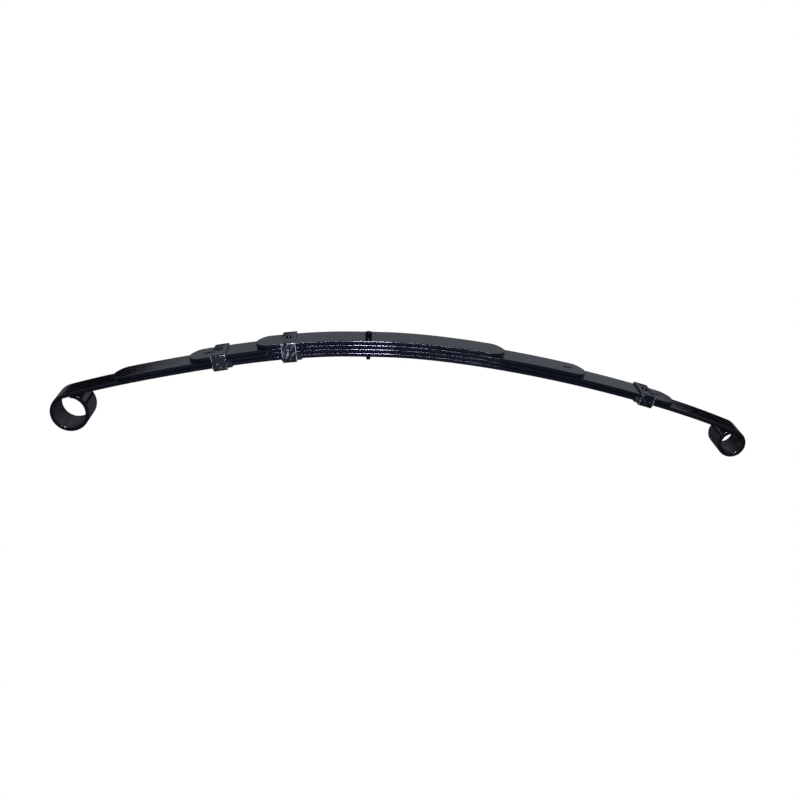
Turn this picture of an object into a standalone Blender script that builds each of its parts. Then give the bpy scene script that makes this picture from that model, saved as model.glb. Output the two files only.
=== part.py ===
"""Four-leaf semi-elliptic spring, lying arch up on its two rolled eyes.

Each leaf is cut flat, pierced, and then formed over one shared arch, so the leaves nest a
clearance apart. The arch is described by its curvature along the front and the rear arm.
Shapes are worked out in the pack's own axes: origin where the centre bolt meets the main leaf's
underside, X along the spring towards the rear eye, Z up. One empty then levels the pack on its eyes.
"""

import math

import bmesh
import bpy
import numpy as np
from mathutils import Matrix, Vector

# ---- driving dimensions, in metres and degrees ----
CLEARANCE = 0.0003  # left between pieces that touch on the real spring

LEAF_WIDTH = 0.0635
LEAF_THICKNESS = 0.0071
SEAT_HALF_LENGTH = 0.025  # the nearly flat stretch at the centre bolt
SEAT_CAMBER = 0.2  # its curvature, in 1/m
SEAT_CLEAR_OF_BOLT = 0.010  # from there outwards the seat is clear of the bolt's head and nut
CLAMP_HALF_LENGTH = 0.045  # held by the axle's U-bolts, so it doesn't flex

# arm length along the main leaf's underside, bore radius of its eye, and its curvature in 1/m
# at shares of that length
ARMS = {
    "front": {
        "side": -1,
        "length": 0.5542,
        "bore_radius": 0.0285,
        "camber": ((0.06, 1.08), (0.18, 0.84), (0.35, 0.53), (0.65, 0.22), (1.0, 0.65)),
        "full_flex": 17.0,
    },
    "rear": {
        "side": 1,
        "length": 0.7002,
        "bore_radius": 0.01905,
        "camber": ((0.06, 1.115), (0.18, 0.64), (0.35, 0.42), (0.65, 0.38), (1.0, 0.69)),
        "full_flex": 18.0,
    },
}
EYE_LEAD = 0.045  # straight stretch of main leaf that belongs to an eye
TAIL_TIP = 0.0008  # thickness that the roll's scarfed end comes down to
TAIL_CLEARANCE = 0.0009  # between that end and the leaf it tucks under
FLEX_PIVOT_SHARE = 0.3  # where along an arm its eye seems to swing from

# where each graduated leaf ends, along the front and the rear arm
LEAF_TIPS = {
    "second_leaf": {"front": 0.463, "rear": 0.571},
    "third_leaf": {"front": 0.321, "rear": 0.397},
    "fourth_leaf": {"front": 0.1985, "rear": 0.244},
}
TIP_END_WIDTH = 0.016
TIP_TAPER_LENGTH = 0.022
TIP_CORNER_RADIUS = 0.001

PADDED_LEAVES = ("second_leaf", "third_leaf")
PAD_LENGTH = 0.030
PAD_WIDTH = 0.040
PAD_THICKNESS = 0.0014
PAD_FROM_TIP = 0.0335  # the pad's middle, back from the leaf's tip
SLOT_LENGTH = 0.018
SLOT_WIDTH = 0.0075
TONGUE_BELOW_FACE = 0.0035

BOLT_RADIUS = 0.00395
BOLT_HEAD_RADIUS = 0.006
BOLT_HEAD_HEIGHT = 0.0085
BOLT_BELOW_LEAF = 0.0138
BOLT_CHAMFER = 0.0008
NUT_ACROSS_FLATS = 0.0127
NUT_THICKNESS = 0.0067

# each clip's arm, its place along that arm, and how many leaves it holds
CLIPS = {
    "front_outer": {"arm": "front", "station": 0.265, "leaves": 3},
    "front_inner": {"arm": "front", "station": 0.140, "leaves": 4},
    "rear": {"arm": "rear", "station": 0.514, "leaves": 2},
}
STRAP_WIDTH = 0.0254
STRAP_THICKNESS = 0.003
STRAP_BEND_RADIUS = 0.0045
STRAP_TAB_LENGTH = 0.020  # folded under the main leaf, from the strap's inside face
LINER_FLOOR = 0.002
LINER_WALL = 0.0015
LINER_WALL_HEIGHT = 0.009
LINER_BEYOND_STRAP = {"centre": 0.009, "tip": 0.002}
RIVET_RADIUS = 0.003
RIVET_HEAD_RADIUS = 0.0057
RIVET_HEAD_HEIGHT = 0.0028

# ---- how finely the curved pieces are cut ----
LEAF_STEP = 0.022
ROLL_STEP_DEGREES = 11.0
TIP_STEPS = 6
CORNER_STEPS = 3
ROUND_SIDES = 24
ARCH_STEPS = 600

GLOSS_BLACK = (0.012, 0.012, 0.014, 1.0)
SATIN_BLACK = (0.016, 0.016, 0.017, 1.0)
ZINC_GREY = (0.18, 0.18, 0.17, 1.0)
NYLON_BLACK = (0.02, 0.02, 0.02, 1.0)


# ---- the arch ----
class Arm:
    """One arm of the arch, with distances measured outwards from the centre bolt."""

    def __init__(self, side, length, bore_radius, camber, full_flex):
        self.side, self.length, self.bore = side, length, bore_radius
        self.full_flex = math.radians(full_flex)
        self.reach = np.linspace(0, length, ARCH_STEPS)
        shares, curvatures = zip(*camber)
        bend = np.interp(self.reach / length, shares, curvatures)
        bend[self.reach < SEAT_HALF_LENGTH] = SEAT_CAMBER
        step = self.reach[1]
        middle = (bend[1:] + bend[:-1]) / 2
        self.slope = np.concatenate([[0], np.cumsum(middle * step)])
        halfway = (self.slope[1:] + self.slope[:-1]) / 2
        self.out = np.concatenate([[0], np.cumsum(np.cos(halfway) * step)])
        self.down = np.concatenate([[0], np.cumsum(np.sin(halfway) * step)])

    def slope_at(self, reach):
        return float(np.interp(reach, self.reach, self.slope))

    def point(self, reach, height):
        """(outwards, up) of a point that far along the underside and that high above it."""
        if reach <= self.length:
            out = float(np.interp(reach, self.reach, self.out))
            down = float(np.interp(reach, self.reach, self.down))
            slope = self.slope_at(reach)
            return out + height * math.sin(slope), height * math.cos(slope) - down
        turn = (reach - self.length) / self.bore
        radius = self.bore + height * self.roll_thickness(turn) / LEAF_THICKNESS
        centre_out, centre_up = self.eye_centre()
        angle = self.slope[-1] + turn
        return centre_out + radius * math.sin(angle), centre_up + radius * math.cos(angle)

    def eye_centre(self):
        return self.point(self.length, -self.bore)

    def outer_radius(self):
        return self.bore + LEAF_THICKNESS

    def tail_angle(self, thickness):
        """Short of a whole turn by this much, a roll that thick still clears the leaf above."""
        return math.acos(self.bore / (self.bore + thickness + TAIL_CLEARANCE))

    def roll_turn(self):
        return 2 * math.pi - self.tail_angle(TAIL_TIP)

    def roll_thickness(self, turn):
        left = 2 * math.pi - turn
        if left >= self.tail_angle(LEAF_THICKNESS):
            return LEAF_THICKNESS
        return self.bore / math.cos(left) - self.bore - TAIL_CLEARANCE

    # how the arm bends under load: its eye swings about the pivot, and the leaf between the
    # clamp and the eye follows by a smooth share of that swing
    def pivot(self):
        return self.point(self.length * FLEX_PIVOT_SHARE, LEAF_THICKNESS / 2)

    def flexed(self, point, flex):
        pivot_out, pivot_up = self.pivot()
        share = (point[0] - CLAMP_HALF_LENGTH) / (self.eye_start() - CLAMP_HALF_LENGTH)
        share = min(max(share, 0), 1)
        angle = flex * share * share * (3 - 2 * share)
        out, up = point[0] - pivot_out, point[1] - pivot_up
        return (
            pivot_out + out * math.cos(angle) - up * math.sin(angle),
            pivot_up + out * math.sin(angle) + up * math.cos(angle),
        )

    def eye_start(self):
        return self.eye_centre()[0] - self.outer_radius()

    def clip_hinge(self, station, height):
        """The point about which a clip there turns as the arm flexes, and its share of the flex."""
        near, here, far = (self.point(station + d, height) for d in (-0.005, 0, 0.005))
        near_2, here_2, far_2 = (self.flexed(p, self.full_flex) for p in (near, here, far))
        before = math.atan2(far[1] - near[1], far[0] - near[0])
        after = math.atan2(far_2[1] - near_2[1], far_2[0] - near_2[0])
        turn = after - before
        out, up = here_2[0] - here[0], here_2[1] - here[1]
        lever = 1 / (2 * math.tan(turn / 2))
        hinge = (
            (here[0] + here_2[0]) / 2 - up * lever,
            (here[1] + here_2[1]) / 2 + out * lever,
        )
        return hinge, turn / self.full_flex


ARM = {name: Arm(**values) for name, values in ARMS.items()}


def formed(along, across, height):
    """Where a point of the flat blank ends up: along is negative on the front arm."""
    arm = ARM["front"] if along < 0 else ARM["rear"]
    out, up = arm.point(abs(along), height)
    return Vector((arm.side * out, across, up))


def leaf_floor(number):
    """Height of a leaf's underside above the main leaf's, counting the main leaf as 1."""
    return (number - 1) * (LEAF_THICKNESS + CLEARANCE)


LEAF_NUMBER = {"main_leaf": 1, "second_leaf": 2, "third_leaf": 3, "fourth_leaf": 4}


# ---- making meshes ----
def clear_scene():
    for old in list(bpy.data.objects):
        bpy.data.objects.remove(old, do_unlink=True)


def collection(name):
    made = bpy.data.collections.new(name)
    bpy.context.scene.collection.children.link(made)
    return made


def paint(name, color, roughness, metallic):
    made = bpy.data.materials.new(name)
    made.use_nodes = True
    shader = made.node_tree.nodes["Principled BSDF"]
    shader.inputs["Base Color"].default_value = color
    shader.inputs["Roughness"].default_value = roughness
    shader.inputs["Metallic"].default_value = metallic
    made.diffuse_color = color
    return made


def add_object(name, mesh, home):
    made = bpy.data.objects.new(name, mesh)
    home.objects.link(made)
    return made


def circle_points(centre, radius, sides=ROUND_SIDES):
    turns = (2 * math.pi * i / sides for i in range(sides))
    return [(centre[0] + radius * math.cos(a), centre[1] + radius * math.sin(a)) for a in turns]


def plate(name, outline, thickness, holes=()):
    """A closed flat plate from a filled outline, from Z 0 up to its thickness."""
    curve = bpy.data.curves.new(name, "CURVE")
    curve.dimensions = "2D"
    curve.fill_mode = "BOTH"
    curve.extrude = thickness / 2
    for points in (outline, *holes):
        spline = curve.splines.new("POLY")
        spline.points.add(len(points) - 1)
        for made, (x, y) in zip(spline.points, points):
            made.co = (x, y, 0, 1)
        spline.use_cyclic_u = True
    holder = bpy.data.objects.new(name + "_curve", curve)
    bpy.context.scene.collection.objects.link(holder)
    graph = bpy.context.evaluated_depsgraph_get()
    mesh = bpy.data.meshes.new_from_object(holder.evaluated_get(graph))
    bpy.data.objects.remove(holder)
    mesh.name = name
    work = bmesh.new()
    work.from_mesh(mesh)
    bmesh.ops.remove_doubles(work, verts=work.verts, dist=1e-6)
    bmesh.ops.translate(work, verts=work.verts, vec=(0, 0, thickness / 2))
    bmesh.ops.recalc_face_normals(work, faces=work.faces)
    work.to_mesh(mesh)
    work.free()
    return mesh


def block_mesh(name, low, high):
    """A box between two corners, from the cube primitive."""
    low, high = Vector(low), Vector(high)
    work = bmesh.new()
    bmesh.ops.create_cube(work, size=1)
    bmesh.ops.scale(work, vec=high - low, verts=work.verts)
    bmesh.ops.translate(work, vec=(low + high) / 2, verts=work.verts)
    mesh = bpy.data.meshes.new(name)
    work.to_mesh(mesh)
    work.free()
    return mesh


def with_boolean(mesh, tools, operation):
    """The mesh after each tool mesh is cut from it or joined to it; the tools stay as guides."""
    body = add_object(mesh.name + "_work", mesh, CUTTERS)
    for number, tool in enumerate(tools):
        cutter = add_object(f"{mesh.name}_tool_{number}", tool, CUTTERS)
        cutter.hide_render = True
        cutter.display_type = "WIRE"
        step = body.modifiers.new(f"step_{number}", "BOOLEAN")
        step.operation = operation
        step.solver = "EXACT"
        step.object = cutter
    graph = bpy.context.evaluated_depsgraph_get()
    graph.update()
    made = bpy.data.meshes.new_from_object(body.evaluated_get(graph))
    bpy.data.objects.remove(body)
    made.name = mesh.name
    return made


def form(mesh, stations, floor=0.0):
    """Cuts a flat blank across at each station and bends it over the arch."""
    work = bmesh.new()
    work.from_mesh(mesh)
    for station in stations:
        bmesh.ops.bisect_plane(
            work,
            geom=work.verts[:] + work.edges[:] + work.faces[:],
            plane_co=(station, 0, 0),
            plane_no=(1, 0, 0),
            dist=1e-7,
        )
    bmesh.ops.triangulate(work, faces=work.faces)
    for vert in work.verts:
        vert.co = formed(vert.co.x, vert.co.y, vert.co.z + floor)
    work.to_mesh(mesh)
    work.free()
    return mesh


def stations_between(low, high, step=LEAF_STEP):
    count = max(1, round((high - low) / step))
    return [low + (high - low) * i / count for i in range(1, count)]


def leaf_stations(front, rear):
    """Stations along a whole leaf: the seat's own edges, and even steps beyond them."""
    inner, outer = SEAT_CLEAR_OF_BOLT, SEAT_HALF_LENGTH
    seat = [-outer, -inner, inner, outer]
    return stations_between(-front, -outer) + seat + stations_between(outer, rear)


def turned(name, profile, sides=ROUND_SIDES):
    """A solid turned about Z from (radius, height) points that start and end on the axis."""
    mesh = bpy.data.meshes.new(name)
    work = bmesh.new()
    verts = [work.verts.new((radius, 0, height)) for radius, height in profile]
    for lower, upper in zip(verts, verts[1:]):
        work.edges.new((lower, upper))
    work.to_mesh(mesh)
    work.free()
    holder = add_object(name + "_profile", mesh, CUTTERS)
    screw = holder.modifiers.new("turn", "SCREW")
    screw.steps = sides
    screw.render_steps = sides
    screw.use_merge_vertices = True
    screw.merge_threshold = 1e-6
    graph = bpy.context.evaluated_depsgraph_get()
    graph.update()
    made = bpy.data.meshes.new_from_object(holder.evaluated_get(graph))
    bpy.data.objects.remove(holder)
    made.name = name
    work = bmesh.new()
    work.from_mesh(made)
    bmesh.ops.remove_doubles(work, verts=work.verts, dist=1e-6)
    bmesh.ops.recalc_face_normals(work, faces=work.faces)
    work.to_mesh(made)
    work.free()
    return made


def finish(name, mesh, material, axis, smooth=False):
    """Hangs a finished mesh, made in the pack's axes, on the empty of its joint's axis."""
    mesh.transform(Matrix.Translation(-axis.location))
    made = add_object(name, mesh, PARTS)
    made.parent = axis
    mesh.materials.clear()
    mesh.materials.append(material)
    if smooth:
        mesh.shade_smooth()
        mesh.set_sharp_from_angle(angle=math.radians(35))
    return made


# ---- leaves ----
def tip_outline(tip, sign):
    """The leaf's end from its +Y shoulder round to its -Y one; sign is the way it points."""
    half = LEAF_WIDTH / 2
    end = TIP_END_WIDTH / 2
    shoulder = []
    for i in range(TIP_STEPS + 1):
        share = i / TIP_STEPS
        width = half - (half - end) * share * share
        reach = tip - TIP_TAPER_LENGTH * (1 - share)
        shoulder.append((sign * min(reach, tip - TIP_CORNER_RADIUS), width))
    corner = []
    for i in range(1, CORNER_STEPS + 1):
        angle = math.pi / 2 * i / CORNER_STEPS
        reach = tip - TIP_CORNER_RADIUS * (1 - math.sin(angle))
        corner.append((sign * reach, end - TIP_CORNER_RADIUS * (1 - math.cos(angle))))
    upper = shoulder + corner
    return upper + [(x, -y) for x, y in reversed(upper)]


def pad_place(name, arm_name):
    """How far along the blank a leaf's tip pad is centred; negative on the front arm."""
    return ARM[arm_name].side * (LEAF_TIPS[name][arm_name] - PAD_FROM_TIP)


def clip_hole(clip):
    return ARM[clip["arm"]].side * clip["station"]


def graduated_leaf(name):
    number = LEAF_NUMBER[name]
    tips = LEAF_TIPS[name]
    outline = tip_outline(tips["rear"], 1) + tip_outline(tips["front"], -1)[::-1]
    holes = [circle_points((0, 0), BOLT_RADIUS + CLEARANCE)]
    holes += [
        circle_points((clip_hole(clip), 0), RIVET_RADIUS + CLEARANCE)
        for clip in CLIPS.values()
        if clip["leaves"] == number
    ]
    mesh = plate(name, outline, LEAF_THICKNESS, holes)
    if name in PADDED_LEAVES:
        pockets = []
        for arm_name in ARM:
            middle = pad_place(name, arm_name)
            pockets.append(
                block_mesh(
                    f"{name}_pocket",
                    (middle - PAD_LENGTH / 2, -PAD_WIDTH / 2, -PAD_THICKNESS),
                    (middle + PAD_LENGTH / 2, PAD_WIDTH / 2, PAD_THICKNESS),
                )
            )
            pockets.append(
                block_mesh(
                    f"{name}_slot",
                    (middle - SLOT_LENGTH / 2, -SLOT_WIDTH / 2, -LEAF_THICKNESS),
                    (middle + SLOT_LENGTH / 2, SLOT_WIDTH / 2, 2 * LEAF_THICKNESS),
                )
            )
        mesh = with_boolean(mesh, pockets, "DIFFERENCE")
    return form(mesh, leaf_stations(tips["front"], tips["rear"]), leaf_floor(number))


def main_leaf():
    """The main leaf between its two eyes."""
    front = ARM["front"].length - EYE_LEAD
    rear = ARM["rear"].length - EYE_LEAD
    half = LEAF_WIDTH / 2
    outline = [(-front, -half), (rear, -half), (rear, half), (-front, half)]
    hole = circle_points((0, 0), BOLT_RADIUS + CLEARANCE)
    mesh = plate("main_leaf", outline, LEAF_THICKNESS, [hole])
    return form(mesh, leaf_stations(front, rear))


def eye(arm_name):
    """An end of the main leaf with its eye, rolled down and back under itself."""
    arm = ARM[arm_name]
    start = arm.length - EYE_LEAD + CLEARANCE
    end = arm.length + arm.bore * arm.roll_turn()
    half = LEAF_WIDTH / 2
    low, high = sorted((arm.side * start, arm.side * end))
    mesh = block_mesh(arm_name + "_eye", (low, -half, 0), (high, half, LEAF_THICKNESS))
    cuts = stations_between(start, arm.length) + [arm.length]
    cuts += stations_between(arm.length, end, arm.bore * math.radians(ROLL_STEP_DEGREES))
    return form(mesh, [arm.side * cut for cut in cuts])


def tip_pad(name, arm_name):
    """A thin pad let into the leaf's underside, with a tongue up through the leaf's slot."""
    middle = pad_place(name, arm_name)
    inset = CLEARANCE
    slab = block_mesh(
        f"{arm_name}_{name}_pad",
        (middle - PAD_LENGTH / 2 + inset, -PAD_WIDTH / 2 + inset, 0),
        (middle + PAD_LENGTH / 2 - inset, PAD_WIDTH / 2 - inset, PAD_THICKNESS - inset),
    )
    tongue = block_mesh(
        f"{arm_name}_{name}_tongue",
        (middle - SLOT_LENGTH / 2 + inset, -SLOT_WIDTH / 2 + inset, PAD_THICKNESS / 3),
        (middle + SLOT_LENGTH / 2 - inset, SLOT_WIDTH / 2 - inset, LEAF_THICKNESS - TONGUE_BELOW_FACE),
    )
    mesh = with_boolean(slab, [tongue], "UNION")
    return form(mesh, [middle], leaf_floor(LEAF_NUMBER[name]))


# ---- centre bolt ----
def pack_height():
    return leaf_floor(4) + LEAF_THICKNESS


def centre_bolt():
    head_floor = pack_height() + CLEARANCE
    head_top = head_floor + BOLT_HEAD_HEIGHT
    return turned(
        "centre_bolt",
        [
            (0, head_top),
            (BOLT_HEAD_RADIUS - BOLT_CHAMFER, head_top),
            (BOLT_HEAD_RADIUS, head_top - BOLT_CHAMFER),
            (BOLT_HEAD_RADIUS, head_floor),
            (BOLT_RADIUS, head_floor),
            (BOLT_RADIUS, BOLT_CHAMFER - BOLT_BELOW_LEAF),
            (BOLT_RADIUS - BOLT_CHAMFER, -BOLT_BELOW_LEAF),
            (0, -BOLT_BELOW_LEAF),
        ],
    )


def centre_bolt_nut():
    corner = NUT_ACROSS_FLATS / 2 / math.cos(math.pi / 6)
    hexagon = circle_points((0, 0), corner, 6)
    mesh = plate(
        "centre_bolt_nut",
        hexagon,
        NUT_THICKNESS,
        [circle_points((0, 0), BOLT_RADIUS + CLEARANCE)],
    )
    mesh.transform(Matrix.Translation((0, 0, -NUT_THICKNESS - CLEARANCE)))
    return mesh


# ---- clips ----
def clip_frame(clip):
    """Stands a clip made about its own origin square to the arch at its station."""
    arm = ARM[clip["arm"]]
    place = formed(clip_hole(clip), 0, 0)
    lean = Matrix.Rotation(arm.side * arm.slope_at(clip["station"]), 4, "Y")
    return Matrix.Translation(place) @ lean


def clip_stack(clip):
    return leaf_floor(clip["leaves"]) + LEAF_THICKNESS


def rounded_corner(corner, radius, start_degrees):
    """Points round a corner, anticlockwise, whose centre is one radius inside it."""
    first = math.radians(start_degrees)
    spot = (
        corner[0] - radius * (math.cos(first) + math.cos(first + math.pi / 2)),
        corner[1] - radius * (math.sin(first) + math.sin(first + math.pi / 2)),
    )
    turns = [first + math.pi / 2 * i / CORNER_STEPS for i in range(CORNER_STEPS + 1)]
    return [(spot[0] + radius * math.cos(a), spot[1] + radius * math.sin(a)) for a in turns]


def across_plate(name, outline, low, high):
    """A plate whose outline is (across, up), standing square to X from low to high."""
    mesh = plate(name, outline, high - low)
    turn = Matrix(((0, 0, 1, low), (1, 0, 0, 0), (0, 1, 0, 0), (0, 0, 0, 1)))
    mesh.transform(turn)
    return mesh


def strap_mesh(name, clip):
    """A band over the pack, riveted on top, with both ends folded under the main leaf."""
    inner_half = LEAF_WIDTH / 2 + LINER_WALL + 2 * CLEARANCE
    inner_low = -LINER_FLOOR - 2 * CLEARANCE
    inner_high = clip_stack(clip) + CLEARANCE
    outer_half = inner_half + STRAP_THICKNESS
    outer_low, outer_high = inner_low - STRAP_THICKNESS, inner_high + STRAP_THICKNESS
    tab_end = inner_half - STRAP_TAB_LENGTH
    bend = STRAP_BEND_RADIUS
    inner_bend = STRAP_BEND_RADIUS - STRAP_THICKNESS
    right = [(tab_end, outer_low)]
    right += rounded_corner((outer_half, outer_low), bend, -90)
    right += rounded_corner((outer_half, outer_high), bend, 0)
    inside = [(tab_end, inner_low)]
    inside += rounded_corner((inner_half, inner_low), inner_bend, -90)
    inside += rounded_corner((inner_half, inner_high), inner_bend, 0)
    left = [(-y, z) for y, z in reversed(right)]
    outline = right + left + [(-y, z) for y, z in inside] + inside[::-1]
    half = STRAP_WIDTH / 2
    mesh = across_plate(name, outline, -half, half)
    hole = turned(
        name + "_hole",
        [
            (0, outer_high + STRAP_THICKNESS),
            (RIVET_RADIUS + CLEARANCE, outer_high + STRAP_THICKNESS),
            (RIVET_RADIUS + CLEARANCE, inner_high - STRAP_THICKNESS),
            (0, inner_high - STRAP_THICKNESS),
        ],
    )
    return with_boolean(mesh, [hole], "DIFFERENCE")


def liner_mesh(name, clip):
    """A nylon channel between the main leaf and the strap, longer towards the centre bolt."""
    side = ARM[clip["arm"]].side
    inner = LEAF_WIDTH / 2 + CLEARANCE
    outer = inner + LINER_WALL
    roof, floor = LINER_WALL_HEIGHT, -CLEARANCE
    right = rounded_corner((outer, floor - LINER_FLOOR), STRAP_BEND_RADIUS - STRAP_THICKNESS, -90)
    right += [(outer, roof), (inner, roof), (inner, floor)]
    outline = right + [(-y, z) for y, z in reversed(right)]
    ends = sorted(
        (
            -side * (STRAP_WIDTH / 2 + LINER_BEYOND_STRAP["centre"]),
            side * (STRAP_WIDTH / 2 + LINER_BEYOND_STRAP["tip"]),
        )
    )
    return across_plate(name, outline, *ends)


def rivet_mesh(name, clip):
    """A button-headed rivet through the strap and the clip's own leaf."""
    head_floor = clip_stack(clip) + STRAP_THICKNESS + 2 * CLEARANCE
    foot = leaf_floor(clip["leaves"]) + CLEARANCE
    sphere = (RIVET_HEAD_RADIUS**2 + RIVET_HEAD_HEIGHT**2) / (2 * RIVET_HEAD_HEIGHT)
    reach = math.asin(RIVET_HEAD_RADIUS / sphere)
    dome = []
    for i in range(CORNER_STEPS + 2):
        angle = reach * i / (CORNER_STEPS + 1)
        drop = sphere * (1 - math.cos(angle))
        dome.append((sphere * math.sin(angle), head_floor + RIVET_HEAD_HEIGHT - drop))
    dome[0] = (0, head_floor + RIVET_HEAD_HEIGHT)
    return turned(name, dome + [(RIVET_RADIUS, head_floor), (RIVET_RADIUS, foot), (0, foot)])


# ---- assembly ----
def axis_empty(name, location, parent):
    made = bpy.data.objects.new(name, None)
    PARTS.objects.link(made)
    made.location = location
    made.parent = parent
    return made


def level_on_eyes(stand):
    """Turns and lifts the pack so that both eyes rest at Z 0, with its box centred on X 0."""
    places = []
    for arm in ARM.values():
        out, up = arm.eye_centre()
        places.append((arm.side * out, up, arm.outer_radius()))
    (front_x, front_z, front_r), (rear_x, rear_z, rear_r) = places
    span = math.hypot(rear_x - front_x, rear_z - front_z)
    tilt = math.asin((front_r - rear_r) / span) - math.atan2(front_z - rear_z, rear_x - front_x)
    stand.rotation_euler = (0, tilt, 0)
    turn = Matrix.Rotation(tilt, 3, "Y")
    front = turn @ Vector((front_x, 0, front_z))
    rear = turn @ Vector((rear_x, 0, rear_z))
    middle = (front.x - front_r + rear.x + rear_r) / 2
    stand.location = (-middle, 0, front_r - front.z)


def build():
    gloss = paint("gloss_black_paint", GLOSS_BLACK, 0.25, 0.0)
    satin = paint("satin_black_steel", SATIN_BLACK, 0.4, 0.0)
    zinc = paint("dull_zinc", ZINC_GREY, 0.45, 1.0)
    nylon = paint("black_nylon", NYLON_BLACK, 0.5, 0.0)

    stand = axis_empty("pack_axes", (0, 0, 0), None)
    level_on_eyes(stand)
    seat = axis_empty("seat_axis", (0, 0, 0), stand)

    finish("main_leaf", main_leaf(), gloss, seat)
    for name in LEAF_TIPS:
        finish(name, graduated_leaf(name), gloss, seat)
    for name in PADDED_LEAVES:
        for arm_name in ARM:
            finish(f"{arm_name}_{name}_pad", tip_pad(name, arm_name), nylon, seat)
    finish("centre_bolt", centre_bolt(), satin, seat, smooth=True)
    finish("centre_bolt_nut", centre_bolt_nut(), zinc, seat)

    for arm_name, arm in ARM.items():
        out, up = arm.pivot()
        hinge = axis_empty(f"{arm_name}_flex_axis", (arm.side * out, 0, up), stand)
        finish(f"{arm_name}_eye", eye(arm_name), gloss, hinge, smooth=True)

    for clip_name, clip in CLIPS.items():
        arm = ARM[clip["arm"]]
        (out, up), share = arm.clip_hinge(clip["station"], clip_stack(clip) / 2)
        hinge = axis_empty(f"{clip_name}_clip_axis", (arm.side * out, 0, up), stand)
        hinge["share_of_flex"] = share
        pieces = (
            ("clip", strap_mesh, gloss),
            ("clip_liner", liner_mesh, nylon),
            ("clip_rivet", rivet_mesh, satin),
        )
        for suffix, make, material in pieces:
            name = f"{clip_name}_{suffix}"
            mesh = make(name, clip)
            mesh.transform(clip_frame(clip))
            finish(name, mesh, material, hinge, smooth=make is rivet_mesh)


clear_scene()
PARTS = collection("leaf_spring")
CUTTERS = collection("leaf_spring_cutters")
build()
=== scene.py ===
import math

import bmesh
import bpy
import numpy as np
from mathutils import Matrix, Quaternion, Vector


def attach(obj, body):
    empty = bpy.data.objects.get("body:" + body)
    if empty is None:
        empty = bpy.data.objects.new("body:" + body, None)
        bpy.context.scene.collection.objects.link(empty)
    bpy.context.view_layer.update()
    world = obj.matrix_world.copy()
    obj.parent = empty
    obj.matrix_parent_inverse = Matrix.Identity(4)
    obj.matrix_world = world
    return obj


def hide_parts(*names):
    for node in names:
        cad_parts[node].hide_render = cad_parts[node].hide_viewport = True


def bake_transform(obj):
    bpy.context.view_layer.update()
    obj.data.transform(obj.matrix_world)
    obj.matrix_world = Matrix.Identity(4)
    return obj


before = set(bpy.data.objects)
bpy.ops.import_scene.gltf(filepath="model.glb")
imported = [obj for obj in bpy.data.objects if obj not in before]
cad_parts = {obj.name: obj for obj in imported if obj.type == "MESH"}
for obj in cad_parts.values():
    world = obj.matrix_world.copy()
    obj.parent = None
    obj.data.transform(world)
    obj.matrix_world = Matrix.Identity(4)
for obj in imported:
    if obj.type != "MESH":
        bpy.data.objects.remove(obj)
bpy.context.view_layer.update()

# ---- main leaf ----
# The longest leaf, of hot-rolled spring steel flat with mill-rounded edges. It is pressed hot over
# the arch former, and each end is rolled down and back under itself into an eye, with the end of
# the roll scarfed to a wedge. After tempering it is dipped in black chassis paint.
LEAF_WIDTH = 0.0635
LEAF_THICKNESS = 0.0071
LEAF_GAP = 0.0003
EDGE_RADIUS = 0.0014
SEAT_HALF_LENGTH = 0.025
SEAT_CAMBER = 0.2
TAIL_TIP = 0.0008
TAIL_CLEARANCE = 0.0009
BOLT_HOLE_RADIUS = 0.00425
ALONG_STEP = 0.005
ROLL_STEP_DEGREES = 3.0
CAMBER_SAMPLES = 600
INNER_STRIP = 0.010
ROLL_FIRST_STRIP = 0.020
EDGE_SEGMENTS = 4
SHADING_INSET = 0.0005
SHARP_DEGREES = 35.0
# a face looks straight up or down when its normal's Z is past this
FACING = 0.9
# places closer together than this are the same place
TOUCHING = 1e-6
CUT_REACH = 1e-7
ENAMEL_IOR = 1.52
THIN_COAT_IOR = 1.3


class Arm:
    """One arm of the arch. Reach is measured outwards from the bolt along the main leaf's underside,
    and camber gives the curvature, in 1/m, at shares of the arm's length. Bore is the radius of the
    hole through the eye."""

    def __init__(self, side, length, bore, camber):
        self.side, self.length, self.bore = side, length, bore
        self.reach = np.linspace(0, length, CAMBER_SAMPLES)
        bend = np.interp(self.reach / length, *zip(*camber))
        bend[self.reach < SEAT_HALF_LENGTH] = SEAT_CAMBER
        step = self.reach[1]
        self.slope = np.concatenate([[0], np.cumsum((bend[1:] + bend[:-1]) / 2 * step)])
        halfway = (self.slope[1:] + self.slope[:-1]) / 2
        self.out = np.concatenate([[0], np.cumsum(np.cos(halfway) * step)])
        self.down = np.concatenate([[0], np.cumsum(np.sin(halfway) * step)])

    def slope_at(self, reach):
        return float(np.interp(reach, self.reach, self.slope))

    def point(self, reach, height):
        """(outwards, up) of a point that far along the underside and that high above it."""
        if reach <= self.length:
            slope = self.slope_at(reach)
            out = float(np.interp(reach, self.reach, self.out))
            down = float(np.interp(reach, self.reach, self.down))
            return out + height * math.sin(slope), height * math.cos(slope) - down
        turn = (reach - self.length) / self.bore
        radius = self.bore + height * self.roll_thickness(turn) / LEAF_THICKNESS
        centre_out, centre_up = self.eye_centre()
        angle = self.slope[-1] + turn
        return centre_out + radius * math.sin(angle), centre_up + radius * math.cos(angle)

    def eye_centre(self):
        return self.point(self.length, -self.bore)

    def outer_radius(self):
        return self.bore + LEAF_THICKNESS

    def tail_angle(self, thickness):
        """How far short of a whole turn a roll that thick still clears the leaf it tucks under."""
        return math.acos(self.bore / (self.bore + thickness + TAIL_CLEARANCE))

    def roll_length(self):
        return self.bore * (2 * math.pi - self.tail_angle(TAIL_TIP))

    def roll_thickness(self, turn):
        left = 2 * math.pi - turn
        if left >= self.tail_angle(LEAF_THICKNESS):
            return LEAF_THICKNESS
        return self.bore / math.cos(left) - self.bore - TAIL_CLEARANCE


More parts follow.
